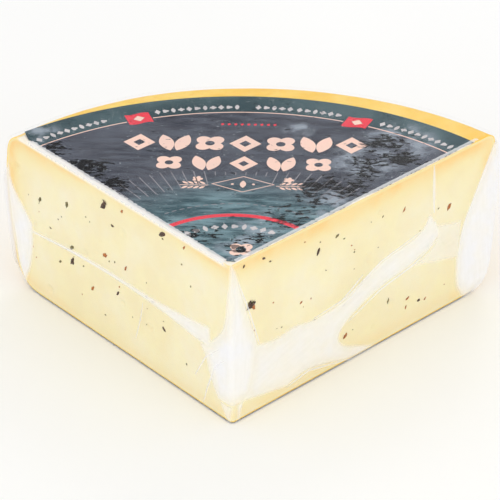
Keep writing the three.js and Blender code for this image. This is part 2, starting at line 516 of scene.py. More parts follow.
# The larger flecks of the left cut (-1) and the right cut (1): how far along the cut, how high and
# how long in mm, slant in degrees, and finish
LARGE_FLECKS = {
    -1: [
        (83, 67, 3.6, -50, "dark"), (82, 69, 2.0, 30, "dark"), (129, 50, 2.4, -62, "olive"),
        (109, 56, 2.8, -62, "olive"), (70, 70, 1.8, -50, "rust"), (77, 60, 1.5, 10, "dark"),
        (43, 71, 3.6, -36, "dark"), (107, 36, 2.8, -50, "olive"), (107, 29, 3.2, -65, "dark"),
        (116, 25, 1.9, -45, "olive"), (83, 43, 2.6, -25, "rust"), (69, 43, 2.4, -65, "rust"),
        (93, 22, 2.4, -60, "rust"), (75, 28, 2.0, -55, "dark"), (51, 35, 1.3, 0, "dark"),
        (44, 25, 2.3, 60, "dark"), (29, 71, 1.6, -60, "rust"), (122, 39, 1.2, 20, "olive"),
    ],
    1: [
        (12, 52, 3.8, 12, "dark"), (13, 51, 2.4, -60, "rust"), (11, 53, 2.2, 70, "dark"),
        (8, 72, 1.6, 60, "dark"), (19, 71, 1.4, -30, "dark"), (50, 61, 2.6, 70, "dark"),
        (61, 64, 2.0, 30, "olive"), (40, 41, 1.7, 35, "rust"), (101, 60, 2.0, 55, "rust"),
        (129, 50, 2.8, 55, "rust"), (92, 19, 2.2, 75, "olive"), (104, 15, 2.2, 32, "rust"),
        (111, 11, 1.6, 0, "dark"), (115, 10, 1.5, 25, "rust"), (103, 11, 1.4, 70, "rust"),
        (66, 13, 2.2, 50, "rust"), (88, 62, 1.0, 40, "olive"), (65, 61, 1.1, 0, "olive"),
    ],
}
FLECK_COLOURS = {
    "dark": (rgb(52, 38, 30), rgb(96, 66, 44)),
    "rust": (rgb(196, 120, 50), rgb(150, 84, 48)),
    "olive": (rgb(96, 88, 48), rgb(140, 128, 84)),
}


def cut_frame(side, along, height):
    """A place on a cut, with the directions along it and out of it."""
    forward = Vector((side * math.sin(HALF_ANGLE), math.cos(HALF_ANGLE), 0))
    outward = Vector((side * math.cos(HALF_ANGLE), -math.sin(HALF_ANGLE), 0))
    return Vector((MEET_X, MEET_Y, height)) + along * forward, forward, outward


def fleck_material(name, colour, second):
    material, tree, shader = new_material(name)
    shade = mottle(tree, places(tree), 0.8 * MM, 0.35, 0.65, detail=4)
    tree.links.new(mix_colours(tree, shade, colour, second), shader.inputs["Base Color"])
    shader.inputs["Roughness"].default_value = 0.7
    return material


def lay_fleck(ball, side, along, height, length, slant, width):
    """A copy of the ball, pressed into an uneven sliver of its own and sunk into a cut."""
    copy = ball.copy()
    copy.data = ball.data.copy()
    scene.collection.objects.link(copy)
    centre, forward, outward = cut_frame(side, along, height)
    run = forward * math.cos(slant) + Vector((0, 0, 1)) * math.sin(slant)
    rise = outward.cross(run)
    chip = Vector((along, height, side)) * 1000
    for vertex in copy.data.vertices:
        x, y, z = vertex.co * (1 + FLECK_ROUGHNESS * noise.noise(vertex.co * 2.4 + chip))
        vertex.co = (centre - outward * FLECK_SINK + run * x * length
                     + rise * y * width + outward * z * FLECK_THICKNESS)
    return copy


def select_only(*pieces):
    """Selects these pieces alone and takes the first in hand."""
    deselect_all()
    for piece in pieces:
        piece.select_set(True)
    bpy.context.view_layer.objects.active = pieces[0]


def join_pieces(name, pieces):
    select_only(*pieces)
    bpy.ops.object.join()
    pieces[0].name = name
    turn_faces_out()
    bpy.ops.object.shade_smooth()
    return pieces[0]


deselect_all()
bpy.ops.mesh.primitive_ico_sphere_add(subdivisions=2, radius=0.5)
ball = bpy.context.object
fleck_rng = random.Random(5)
flecks = {"dark": [], "rust": [], "olive": []}
for side, large_flecks in LARGE_FLECKS.items():
    for along, height, length, slant, finish in large_flecks:
        length *= LARGE_FLECK_SIZE * MM
        flecks[finish].append(lay_fleck(ball, side, along * MM, height * MM, length,
                                        math.radians(slant), length * fleck_rng.uniform(0.4, 0.6)))
for side in (-1, 1):
    for _ in range(SMALL_FLECKS):
        finish = fleck_rng.choice(["dark", "rust", "olive", "olive"])
        length = fleck_rng.uniform(0.5, 1.1) * MM
        flecks[finish].append(lay_fleck(ball, side, fleck_rng.uniform(8, 140) * MM,
                                        fleck_rng.uniform(12, 70) * MM, length,
                                        fleck_rng.uniform(-1.4, 1.4), length * 0.6))
bpy.data.objects.remove(ball)
for finish, pieces in flecks.items():
    group = join_pieces("truffle_" + finish, pieces)
    group.data.materials.clear()
    group.data.materials.append(fleck_material("truffle_" + finish, *FLECK_COLOURS[finish]))
    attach(group, "root")


# ---- The label ------------------------------------------------------------------------------
# A printed paper disc, glued to the wheel before it is cut, so its cut edges are a little torn.
# The paper is charcoal, green-blue by its rim and in its middle, and damp where the film clings.

LABEL_RADIUS = 143.5 * MM
LEFT_TEAR = 1.7 * MM
RIGHT_TEAR = 0.6 * MM
LEFT_CORNER = 137 * MM  # where the missing left corner of the paper starts
LEFT_ROUGHNESS = 1.5 * MM
RIGHT_ROUGHNESS = 1.0 * MM
TORN_STEP = 0.7 * MM
SMALLEST_TEAR = 0.1 * MM
PAPER_TIP = 4 * MM  # from where the cuts meet
RIM_STEPS = 200
RIM_ENDS = 0.985 * HALF_ANGLE, -0.96 * HALF_ANGLE  # of the paper's round edge, right and left
LABEL_BOTTOM = label_low.z - 0.25 * MM  # pressed on, so that it stays clear of the bag's shoulder
LABEL_TOP = LABEL_BOTTOM + label_high.z - label_low.z
RIM_BAND = 128.5 * MM  # where the charcoal turns to the green-blue of the rim

# Where the film clings to damp paper, as places on the label and reaches in mm
DAMP_PLACES = [((60, 100), 16), ((68, 90), 13), ((40, 60), 22), ((52, 80), 15), ((22, 40), 14),
               ((-66, 76), 16), ((-52, 62), 11), ((-80, 92), 10), ((8, 16), 14), ((-12, 24), 11)]
# Where the film stands off the paper and fogs it, partly with painted glare, given the same way
FOG_AND_GLARE_PLACES = [((23, 113), 9), ((66, 104), 22), ((52, 86), 20), ((40, 50), 16), ((12, 34), 14),
                  ((-88, 106), 12), ((4, 14), 14)]


def cut_vertex(radius, side, inset):
    """A point of the label's plan at a radius, inset from one of the cuts."""
    angle = side * (HALF_ANGLE - math.asin(min(1.0, inset / radius)))
    return radius * math.sin(angle), radius * math.cos(angle)


def torn_edge(rng, side, inset, rough, start, end):
    """Points along a torn cut, from one radius to another."""
    steps = max(2, round(abs(end - start) / TORN_STEP))
    edge = []
    for radius in np.linspace(start, end, steps + 1):
        wave = noise.noise(Vector((radius * 60, side * 5, 0))) * rough
        tear = inset + wave + rng.uniform(-0.3, 0.3) * rough
        edge.append(cut_vertex(radius, side, max(SMALLEST_TEAR, tear)))
    return edge


def arc_points(radius, start, end, steps):
    """Points on an arc about where the cuts meet; angles from straight ahead, in radians."""
    return [(radius * math.sin(angle), radius * math.cos(angle))
            for angle in np.linspace(start, end, steps + 1)]


def cut_sheet(name, outlines, thickness=0.0):
    """A flat piece at z = 0, cut to outlines in plan; one inside another is a hole."""
    curve = bpy.data.curves.new(name, "CURVE")
    curve.dimensions = "2D"
    curve.fill_mode = "BOTH"
    curve.extrude = thickness / 2
    for points in outlines:
        spline = curve.splines.new("POLY")
        spline.points.add(len(points) - 1)
        spline.use_cyclic_u = True
        for corner, (x, y) in zip(spline.points, points):
            corner.co = (x, y, 0, 1)
    piece = bpy.data.objects.new(name, curve)
    scene.collection.objects.link(piece)
    select_only(piece)
    bpy.ops.object.convert(target="MESH")
    return bpy.context.object


def flat_piece(name, outlines, bottom, thickness):
    """A flat, closed piece cut to outlines about where the cuts meet, with its underside at
    bottom."""
    outlines = [[(MEET_X + x, MEET_Y + y) for x, y in points] for points in outlines]
    piece = cut_sheet(name, outlines, thickness)
    piece.location.z = bottom + thickness / 2
    bpy.ops.object.transform_apply(location=True, rotation=True, scale=True)
    bpy.ops.object.mode_set(mode="EDIT")
    bpy.ops.mesh.select_all(action="SELECT")
    bpy.ops.mesh.remove_doubles(threshold=0.001 * MM)
    turn_faces_out()
    return piece


def label_mask(tree, where, spots):
    """1 at the middle of each place on the label, fading to 0 at its reach."""
    mask = 0.0
    for (x, y), reach in spots:
        middle = (MEET_X + x * MM, MEET_Y + y * MM, label_high.z)
        off = add_node(tree, "VectorMath", {0: where, 1: middle}, operation="DISTANCE")
        near = fade(tree, off.outputs["Value"], reach * MM, reach * MM * 0.35)
        mask = calc(tree, "MAXIMUM", mask, near)
    return mask


def damp_mask(tree, where):
    """Crackled patches of damp, thick near the damp places and rare elsewhere."""
    stretched = add_node(tree, "Mapping", {"Vector": where, "Scale": (1.0, 2.0, 1.0)}).outputs[0]
    settings = {"Vector": stretched, "Scale": 1 / (3.6 * MM), "Detail": 6.0, "Roughness": 0.58,
                "Distortion": 0.2}
    crackle = add_node(tree, "TexNoise", settings).outputs["Fac"]
    clusters = calc(tree, "ADD", mottle(tree, where, 10 * MM, 0.35, 0.6), 0.35)
    near = product(tree, label_mask(tree, where, DAMP_PLACES), clusters, 0.17)
    return fade(tree, calc(tree, "ADD", crackle, near), 0.65, 0.66)


def printed_material(name, fresh, faded):
    """Ink on the paper, faded by patches of haze and darkened where it's damp."""
    material, tree, shader = new_material(name)
    where = places(tree)
    haze = mottle(tree, where, 16 * MM, 0.35, 0.7, detail=4)
    colour = mix_colours(tree, product(tree, haze, 0.5), fresh, faded)
    damp = product(tree, damp_mask(tree, where), 0.75)
    tree.links.new(mix_colours(tree, damp, colour, rgb(46, 40, 44)), shader.inputs["Base Color"])
    shader.inputs["Roughness"].default_value = 0.6
    shader.inputs["Specular IOR Level"].default_value = 0.04
    return material


def label_material():
    """Charcoal paper with a green-blue rim and middle, fogged in places, partly with painted glare,
    black where damp, and dotted with painted glints.
    """
    material, tree, shader = new_material("label_paper")
    where = places(tree)
    radius = plan_radius(tree, where)
    haze = mottle(tree, where, 22 * MM, 0.32, 0.68, detail=5)
    streak = add_node(tree, "Mapping", {"Vector": where, "Scale": (1.0, 4.0, 1.0),
                                        "Rotation": (0, 0, math.radians(25))}).outputs[0]
    brushed = mottle(tree, streak, 12 * MM, 0.35, 0.7, detail=7)
    charcoal = mix_colours(tree, haze, rgb(64, 66, 76), rgb(88, 91, 101))
    charcoal = mix_colours(tree, product(tree, brushed, 0.5), charcoal, rgb(110, 116, 128))
    rim = fade(tree, radius, RIM_BAND - 0.3 * MM, RIM_BAND + 0.3 * MM)
    band = mix_colours(tree, haze, rgb(62, 80, 86), rgb(84, 104, 110))
    colour = mix_colours(tree, rim, charcoal, band)
    teal = mix_colours(tree, brushed, rgb(66, 92, 100), rgb(128, 158, 166))
    heart = product(tree, fade(tree, radius, 78 * MM, 48 * MM), 0.9)
    colour = mix_colours(tree, heart, colour, teal)

    # Painted highlight: the fogged places are lightened towards pale blue-grey, partly the film's
    # fog and partly glare painted in.
    wisps = mottle(tree, where, 7 * MM, 0.38, 0.66, detail=7)
    fog_and_glare = product(tree, label_mask(tree, where, FOG_AND_GLARE_PLACES), wisps, 0.75)
    colour = mix_colours(tree, fog_and_glare, colour, rgb(168, 178, 190))
    damp = product(tree, damp_mask(tree, where), 0.95)
    colour = mix_colours(tree, damp, colour, rgb(5, 4, 7))
    # Painted highlight: tiny pale specks stand in for glints on the film.
    painted_glints = mottle(tree, where, 0.9 * MM, 0.72, 0.76, detail=1)
    colour = mix_colours(tree, product(tree, painted_glints, 0.8), colour, rgb(190, 200, 204))
    tree.links.new(colour, shader.inputs["Base Color"])
    tree.links.new(spread(tree, damp, 0.75, 0.3), shader.inputs["Roughness"])
    shader.inputs["Specular IOR Level"].default_value = 0.04
    fibre = mottle(tree, where, 1.5 * MM, 0.2, 0.8, detail=7)
    bump = add_node(tree, "Bump", {"Height": fibre, "Strength": 0.3, "Distance": 0.06 * MM})
    tree.links.new(bump.outputs[0], shader.inputs["Normal"])
    return material


label_rng = random.Random(3)
label_outline = torn_edge(label_rng, 1, RIGHT_TEAR, RIGHT_ROUGHNESS, PAPER_TIP, LABEL_RADIUS)
label_outline += arc_points(LABEL_RADIUS, *RIM_ENDS, RIM_STEPS)
label_outline += torn_edge(label_rng, -1, LEFT_TEAR, LEFT_ROUGHNESS, LEFT_CORNER, PAPER_TIP)
label = flat_piece("paper_label", [label_outline], LABEL_BOTTOM, LABEL_TOP - LABEL_BOTTOM)
label.data.materials.append(label_material())
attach(label, "root")
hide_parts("label")


# ---- The label's print ----------------------------------------------------------------------
# Four inks laid on the paper in thin, crisp shapes: salmon cream for the bold ornaments, pale grey
# for the small ones, red for the ring and the tabs, and a darker grey for the fine rays. All of it
# is plain ornament; it holds no lettering.

INK_THICKNESS = 0.04 * MM
INK_GAP = 0.01 * MM  # between the paper and the ink

# Sizes on the label in mm, with radii about where the cuts meet
OUTER_RING = 133.3  # of small ornaments
LINE_RING, LINE_WIDTH, LINE_INSET = 128.6, 0.6, 1.2
TAB_RING, TAB_WIDTH, TAB_HEIGHT = 129.9, 10.6, 9.0
TAB_ANGLES = [math.radians(angle) for angle in (-21, 21.6)]
TAB_SLANTS = -0.064, 0.16
TAB_GAP = math.radians(2.6)  # left in the line at each side of a tab's middle
DASH_RING = 49.0
DASH_LENGTH = math.radians(2.3)
RED_RING = 39.6
INNER_RING = 30.5
RAY_WIDTH = 0.44
BAND_STEP = 1.2  # from point to point round a band


def turned(points, x, y, turn=0.0):
    """An outline in mm, turned and moved to a place on the label, in metres."""
    c, s = math.cos(turn), math.sin(turn)
    return [((x + c * px - s * py) * MM, (y + s * px + c * py) * MM) for px, py in points]


def ellipse(width, height, steps=28):
    return [(width / 2 * math.cos(t), height / 2 * math.sin(t))
            for t in np.linspace(0, 2 * math.pi, steps, endpoint=False)]


def lozenge(width, height):
    return [(width / 2, 0), (0, height / 2), (-width / 2, 0), (0, -height / 2)]


def leaf(width, height, steps=12):
    """A pointed leaf standing on its stem."""
    right = [(width / 2 * math.sin(math.pi * t) ** 0.8, height * (t - 0.5))
             for t in np.linspace(0, 1, steps + 1)]
    return right + [(-x, y) for x, y in reversed(right[1:-1])]


def clover(size, lobes=4, steps=10):
    """A round-lobed rosette."""
    points = []
    for t in np.linspace(0, 2 * math.pi, lobes * steps, endpoint=False):
        reach = size / 2 * (0.62 + 0.38 * abs(math.cos(lobes / 2 * t)))
        points.append((reach * math.cos(t), reach * math.sin(t)))
    return points


def ring_band(radius, width, inset, start=-1.0, end=1.0):
    """A band about where the cuts meet, in mm, kept inset from the cuts. It runs from start to
    end in radians, as far as the cuts let it."""
    limit = HALF_ANGLE - math.asin(inset / radius)
    start, end = max(start, -limit), min(end, limit)
    steps = max(2, round(abs(end - start) * radius / BAND_STEP))
    outer = arc_points((radius + width / 2) * MM, start, end, steps)
    inner = arc_points((radius - width / 2) * MM, end, start, steps)
    return outer + inner


def on_ring(points, radius, angle):
    """An outline in mm stood on a ring, at an angle in radians."""
    return turned(points, radius * math.sin(angle), radius * math.cos(angle), -angle)


def title_ornament(kind, x, y, height):
    """One bold ornament of the title rows, as an outline and its holes."""
    if kind == "lozenge":
        return [turned(lozenge(height * 0.95, height), x, y),
                turned(lozenge(height * 0.36, height * 0.38), x, y)]
    if kind == "leaf":
        return [turned(leaf(height * 0.44, height), x - height * 0.24, y, 0.3),
                turned(leaf(height * 0.44, height), x + height * 0.24, y, -0.3)]
    return [turned(clover(height), x, y, math.pi / 4),
            turned(ellipse(height * 0.28, height * 0.28), x, y)]


def title_row(kinds, left, right, y, height):
    outlines = []
    for kind, x in zip(kinds, np.linspace(left, right, len(kinds))):
        outlines += title_ornament(kind, x, y, height)
    return outlines


def sprig(x, y, way):
    """A small flowering sprig lying on its side; way is 1 or -1."""
    outlines = [turned([(-6, -0.2), (6, -0.25), (6, 0.25), (-6, 0.2)], x, y)]
    for step in range(4):
        for up in (-1, 1):
            outlines.append(turned(leaf(1.3, 3.2), x + way * (step * 2.4 - 3.3), y + up * 1.9,
                                   way * up * -0.9))
    outlines.append(turned(clover(4.6, 5), x - way, y + 5.2))
    return outlines


def ring_ornaments(radius, groups, pitch, height):
    """Groups of small ornaments round a ring, in turn; groups in degrees."""
    shapes = [lozenge(2.7, height), clover(height * 0.7), leaf(1.9, height),
              clover(height * 0.7, 3)]
    outlines = []
    for start, end in groups:
        for number, angle in enumerate(np.arange(start, end, pitch)):
            outlines.append(on_ring(shapes[number * 3 % 4], radius, math.radians(angle)))
    return outlines


def emblem(x, y, width, height, line):
    """A fine lozenge frame with a leaf between two dots."""
    return [turned(lozenge(width, height), x, y),
            turned(lozenge(width - 2 * line, height - line), x, y),
            turned(leaf(2.6, 6.0), x, y),
            turned(ellipse(1.3, 1.3, 12), x - 4.4, y), turned(ellipse(1.3, 1.3, 12), x + 4.4, y)]


def tab_outline(width, height, slant):
    """A small waving tab."""
    top = [(x, height / 2 + slant * x + 0.5 * math.sin(x / width * 2 * math.pi))
           for x in np.linspace(-width / 2, width / 2, 9)]
    return top + [(x, y - height) for x, y in reversed(top)]


cream = title_row(["lozenge", "leaf", "clover", "lozenge", "clover", "leaf", "lozenge"],
                  -44.5, 46.0, 100.2, 14.4)
cream += title_row(["clover", "leaf", "lozenge", "leaf", "clover"], -30.5, 32.5, 82.8, 12.8)
cream += emblem(1.7, 65.2, 26.5, 13.4, 0.9)
cream += sprig(-18.5, 64.0, -1) + sprig(21.5, 64.0, 1)
cream += [turned(clover(11.0), 3.9, 12.4, math.pi / 4), turned(ellipse(4.2, 5.0), 3.9, 12.4)]
left_tab, right_tab = TAB_ANGLES
for start, end in [(-1.0, left_tab - TAB_GAP), (left_tab + TAB_GAP, right_tab - TAB_GAP),
                   (right_tab + TAB_GAP, 1.0)]:
    cream.append(ring_band(LINE_RING, LINE_WIDTH, LINE_INSET, start, end))
cream += [on_ring(lozenge(5.0, 5.0), TAB_RING, angle) for angle in TAB_ANGLES]

outer_groups = [(-41, -26), (-17, -0.5), (2, 8.4), (9.8, 17.8), (26.2, 41.5)]
pale = ring_ornaments(OUTER_RING, outer_groups, 1.5, 4.3)
pale += ring_ornaments(INNER_RING, [(-37, 37)], 7.5, 4.6)

# Each tab has a lozenge cut out, a little larger than the cream one that fills it.
red = [ring_band(RED_RING, 2.4, 1.6)]
red += [on_ring(tab_outline(TAB_WIDTH, TAB_HEIGHT, slant), TAB_RING, angle)
        for angle, slant in zip(TAB_ANGLES, TAB_SLANTS)]
red += [on_ring(lozenge(5.4, 5.4), TAB_RING, angle) for angle in TAB_ANGLES]
red += [turned(lozenge(1.6, 2.1), x, 117.4, -0.3) for x in np.linspace(-10, 12.6, 9)]

# Fine rays fan out behind the emblem, and a ring of dashes lies inside them.
grey = []
for angle in np.arange(-41, 41, 3.3):
    lean = math.radians(angle)
    inner = 65.0 if abs(angle) > 11 else 73.0
    outer = min(81.0, 75.5 / math.cos(lean))
    ray = [(-RAY_WIDTH / 2, inner), (RAY_WIDTH / 2, inner), (RAY_WIDTH / 2, outer),
           (-RAY_WIDTH / 2, outer)]
    grey.append(on_ring(ray, 0.0, lean))
for angle in np.arange(-36, 37, 4.0):
    start = math.radians(angle)
    grey.append(ring_band(DASH_RING, 0.5, 2.0, start, start + DASH_LENGTH))

INKS = [  # the outlines, and the colour fresh and faded
    ("print_cream", cream, rgb(251, 214, 198), rgb(238, 208, 197)),
    ("print_pale", pale, rgb(214, 208, 208), rgb(176, 174, 178)),
    ("print_red", red, rgb(238, 74, 88), rgb(226, 92, 104)),
    ("print_grey", grey, rgb(150, 148, 154), rgb(112, 112, 120)),
]
for name, outlines, fresh, faded in INKS:
    ink = flat_piece(name, outlines, LABEL_TOP + INK_GAP, INK_THICKNESS)
    ink.data.materials.append(printed_material(name, fresh, faded))
    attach(ink, "root")


# ---- The film bag ---------------------------------------------------------------------------
# A bag of clear film, drawn tight round the wedge. Where it has more film than the wedge needs, it
# lies folded in flat pleats on the cuts and round the corners, and the layers look milky white.

FILM_PROUD = 0.6 * MM
FILM_WALL = 0.1 * MM
FILM_EDGE_ROUND = 1.0 * MM
FILM_SHINE = 0.006  # the share of light that the clear film mirrors when seen square on
FILM_GRAZING_SHINE = 0.12  # and how much more it mirrors when seen edge on
FILM_SWAY = 0.1 * MM
PLEAT_HEIGHT = 0.4 * MM
PLEAT_FLATTENING = 3 * MM  # along the bag's top and bottom, where its pleats lie flat
PLEAT_SLOPE = 3.2  # mm over which a pleat rises, from PLEAT_SPREAD outside its outline
PLEAT_SPREAD = 0.5
PLEAT_RIM = 1.8  # mm over which a pleat's rim fades in
PLEAT_SMOOTHING = 6
LEFT_GUSSET = 22 * MM  # past the left corner, after which the rind is unrolled from the right
SHARP = True

film_low, film_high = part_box("film_bag")
FILM_HEIGHT = film_high.z - film_low.z

# The pleats in the unrolled bag: how much each hides at its rim and at its heart, how many mm its
# heart fades over, the slant of its streaks in degrees, and its outline in mm from the tip, right
# positive, and in height. Outlines are smooth except at points marked sharp.
PLEATS = [
    # The first pleat, over the tip, is partly painted reflection: its near-white heart also stands
    # in for light from in front mirrored on the film's rounded front edge.
    (0.60, 0.98, 5.5, 84, [
        (-0.5, 76.4, SHARP), (-1.6, 62), (-4.2, 46), (-11, 37), (-20, 30.5, SHARP), (-16, 25.5),
        (-14.5, 20), (-11.5, 14), (-8, 8.2, SHARP), (10, 8.6, SHARP), (14, 18), (15.6, 30),
        (12.5, 42), (8.5, 54), (4.0, 70), (1.6, 76.4, SHARP)]),
    (0.55, 0.55, 3.0, 80, [
        (-7.8, 9.4, SHARP), (-5, 4), (-2.2, 0.4, SHARP), (0.2, 0.4, SHARP), (1.0, 9.4, SHARP)]),
    (0.65, 0.65, 3.0, 80, [
        (1.9, 9.8, SHARP), (7.4, 9.8, SHARP), (5.0, 5), (4.2, 0.4, SHARP), (2.0, 0.4, SHARP)]),
    (0.66, 0.80, 5.0, 16, [
        (12, 34, SHARP), (24, 31.5), (36, 32.5), (46, 31), (66, 33), (86, 41.5), (110, 46),
        (116.5, 53.5, SHARP), (118, 50), (121, 46), (122, 38.5), (106, 31.5), (87, 28), (68, 21),
        (62, 13.5), (76, 5), (88, 0.4, SHARP), (68, 0.4, SHARP), (43, 6.5), (30, 4, SHARP),
        (4, 8.6, SHARP), (8, 20)]),
    (0.42, 0.42, 3.0, 5, [
        (119, 46.5, SHARP), (127, 43.5), (137, 41.5, SHARP), (135, 22, SHARP), (104, 30.5, SHARP),
        (119, 37)]),
    (0.78, 0.98, 5.0, 97, [
        (155, 71, SHARP), (147, 57), (141.5, 47), (137, 39), (133.8, 29), (132.7, 18), (133.7, 8),
        (138, 0.4, SHARP), (159, 0.4, SHARP), (172, 18), (174, 38), (166, 60), (159, 73, SHARP)]),
    (0.85, 0.98, 4.0, 95, [
        (-151, 63, SHARP), (-146.5, 50), (-138, 41), (-133.5, 36, SHARP), (-134, 26), (-136.5, 14),
        (-140.5, 5.0), (-142, 1, SHARP), (-146.5, 12), (-148.5, 26), (-151, 42)]),
    (0.72, 0.80, 2.5, -3, [
        (-137, 33.2, SHARP), (-107, 36.4), (-80, 37.8), (-56, 38.0), (-34, 39.4), (-12, 42, SHARP),
        (-11, 31, SHARP), (-20, 31.0), (-34, 32.6), (-56, 34.2), (-80, 34.6), (-107, 33.4),
        (-137, 30.6, SHARP)]),
    (0.60, 0.90, 5.0, 88, [
        (-149, 62, SHARP), (-157, 50), (-166, 37, SHARP), (-166, 27, SHARP), (-158, 12),
        (-150, 2, SHARP), (-147, 16), (-146.5, 36)]),
]

# Gathers from the end seal up and down, as runs from the tip by the right, widths and far ends
SEAL_MIDDLE = 265
GATHER_FOOT, GATHER_HEAD = 27, 38  # heights where they leave the seal, downwards and upwards
GATHER_TIP = 0.8
GATHER_LEAN = 0.04
GATHERS = [(181, 5, 58), (187, 4, 12), (203, 4, 52), (216, 5, 16), (231, 5, 66), (246, 3, 14),
           (262, 4, 56), (279, 5, 62), (290, 4, 13), (306, 4, 50), (322, 5, 60), (331, 4, 11),
           (345, 5, 55)]
for run, width, end in GATHERS:
    start = GATHER_HEAD if end > GATHER_HEAD else GATHER_FOOT
    tip = run + (run - SEAL_MIDDLE) * GATHER_LEAN
    PLEATS.append((0.45, 0.75, 2.5, 90, [
        (run - width / 2, start, SHARP), (tip - GATHER_TIP / 2, end, SHARP),
        (tip + GATHER_TIP / 2, end, SHARP), (run + width / 2, start, SHARP)]))


def film_place(station, rise, lift):
    """A point on the bag, or lift outside it."""
    edge = edge_draw_in(FILM_HEIGHT * (1 - rise), FILM_EDGE_ROUND)
    x, y = skin_point(station, rise, FILM_PROUD + lift - edge)
    return Vector((x, y, film_low.z + FILM_HEIGHT * rise))


def unrolled(station, rise):
    """Where a point is in the unrolled bag, in mm."""
    side = math.copysign(1, station)
    corner, length = corner_of(side, rise, FILM_PROUD)
    run = min(1, abs(station)) * length + max(0, abs(station) - 1) * corner * WHEEL_RADIUS
    if abs(station) > 1 and side < 0:
        whole = corner_of(1, rise, FILM_PROUD)[1] + 2 * corner * WHEEL_RADIUS
        run = length + whole - run if run - length > LEFT_GUSSET else run
        side = 1 if run > whole / 2 else -1
    return side * run / MM, (film_low.z + FILM_HEIGHT * rise) / MM


def smooth_outline(points):
    """A closed outline through points, with a soft bend at each one that isn't marked sharp."""
    spots = [np.array(point[:2], dtype=float) for point in points]
    count = len(spots)
    outline = []
    for number, start in enumerate(spots):
        end = spots[(number + 1) % count]
        step = end - start
        leave, arrive = step, step
        if len(points[number]) == 2:
            leave = end - spots[number - 1]
        if len(points[(number + 1) % count]) == 2:
            arrive = spots[(number + 2) % count] - start
        leave = leave / np.linalg.norm(leave) * np.linalg.norm(step)
        arrive = arrive / np.linalg.norm(arrive) * np.linalg.norm(step)
        for t in np.linspace(0, 1, PLEAT_SMOOTHING, endpoint=False):
            outline.append((2 * t ** 3 - 3 * t ** 2 + 1) * start + (t ** 3 - 2 * t ** 2 + t) * leave
                           + (3 * t ** 2 - 2 * t ** 3) * end + (t ** 3 - t ** 2) * arrive)
    return np.array(outline)


def depths_inside(outline, points):
    """How far each point lies inside an outline, negative outside it."""
    spans = np.roll(outline, -1, axis=0) - outline
    off = points[:, None] - outline
    share = np.clip((off * spans).sum(axis=2) / (spans ** 2).sum(axis=1), 0, 1)
    away = np.linalg.norm(off - share[:, :, None] * spans, axis=2).min(axis=1)
    beside = (off[:, :, 1] >= 0) != (off[:, :, 1] - spans[:, 1] >= 0)
    slope = spans[:, 0] / np.where(spans[:, 1] == 0, 1, spans[:, 1])
    inside = (beside & (off[:, :, 0] < off[:, :, 1] * slope)).sum(axis=1) % 2 == 1
    return np.where(inside, away, -away)


def smooth_share(values):
    values = np.clip(values, 0, 1)
    return values ** 2 * (3 - 2 * values)


def slanted(points, slant):
    """Points in plan as places along and across streaks at a slant in degrees."""
    c, s = math.cos(math.radians(slant)), math.sin(math.radians(slant))
    return points @ np.array([[c, -s], [s, c]])


def fold_pleats(points):
    """How much the bag hides, how high it stands and where its streaks are, at unrolled points."""
    covers = np.zeros(len(points))
    heights = np.zeros(len(points))
    drawn = points.copy()
    for rim, heart, heart_fade, slant, outline in PLEATS:
        depths = depths_inside(smooth_outline(outline), points)
        cover = rim * smooth_share(depths / PLEAT_RIM)
        cover += (heart - rim) * smooth_share((depths - PLEAT_RIM) / heart_fade)
        heights = np.maximum(heights, smooth_share((depths + PLEAT_SPREAD) / PLEAT_SLOPE))
        drawn = np.where((cover > covers)[:, None], slanted(points, slant), drawn)
        covers = np.maximum(covers, cover)
    return covers, heights * PLEAT_HEIGHT, drawn


def film_material():
    """Clear film, milky in its pleats. Its points hold how much they hide, as cover, and places
    along and across the pleat they're in, as drawn. It keeps no light from the cheese."""
    material, tree, shader = new_material("bag_film")
    where = places(tree)
    cover = add_node(tree, "Attribute", {}, attribute_name="cover").outputs["Fac"]
    drawn = add_node(tree, "Attribute", {}, attribute_name="drawn").outputs["Vector"]
    pleats = add_node(tree, "Mapping", {"Vector": drawn, "Scale": (0.12, 1.0, 1.0)}).outputs[0]
    streaks = mottle(tree, pleats, 2.6 * MM, 0.3, 0.7, detail=3)
    cloud = mottle(tree, where, 9 * MM, 0.3, 0.7)
    milk = calc(tree, "ADD", product(tree, streaks, 0.05), spread(tree, cloud, 0.87, 0.97))
    milk = add_node(tree, "Clamp", {0: product(tree, cover, milk)}).outputs[0]
    tint = mix_colours(tree, cloud, rgb(244, 243, 242), rgb(240, 240, 243))
    tree.links.new(tint, shader.inputs["Base Color"])
    shader.inputs["Roughness"].default_value = 0.35

    ripple = mottle(tree, where, 40 * MM, 0.2, 0.8, detail=1)
    settings = {"Height": ripple, "Strength": 0.5, "Distance": 0.5 * MM}
    bump = add_node(tree, "Bump", settings).outputs[0]
    gloss = add_node(tree, "BsdfGlossy", {"Roughness": 0.1, "Normal": bump}).outputs[0]
    facing = add_node(tree, "LayerWeight", {"Blend": 0.5, "Normal": bump}).outputs["Facing"]
    grazing = calc(tree, "POWER", facing, 5.0)
    shine = spread(tree, grazing, FILM_SHINE, FILM_SHINE + FILM_GRAZING_SHINE)
    clear = add_node(tree, "BsdfTransparent", {}).outputs[0]
    film = add_node(tree, "MixShader", {0: shine, 1: clear, 2: gloss}).outputs[0]
    film = add_node(tree, "MixShader", {0: milk, 1: film, 2: shader.outputs[0]}).outputs[0]
    rays = add_node(tree, "LightPath", {}).outputs
    passing = calc(tree, "MAXIMUM", rays["Is Shadow Ray"], rays["Is Diffuse Ray"])
    mixed = add_node(tree, "MixShader", {0: passing, 1: film, 2: clear})
    tree.links.new(mixed.outputs[0], tree.nodes["Material Output"].inputs["Surface"])
    return material


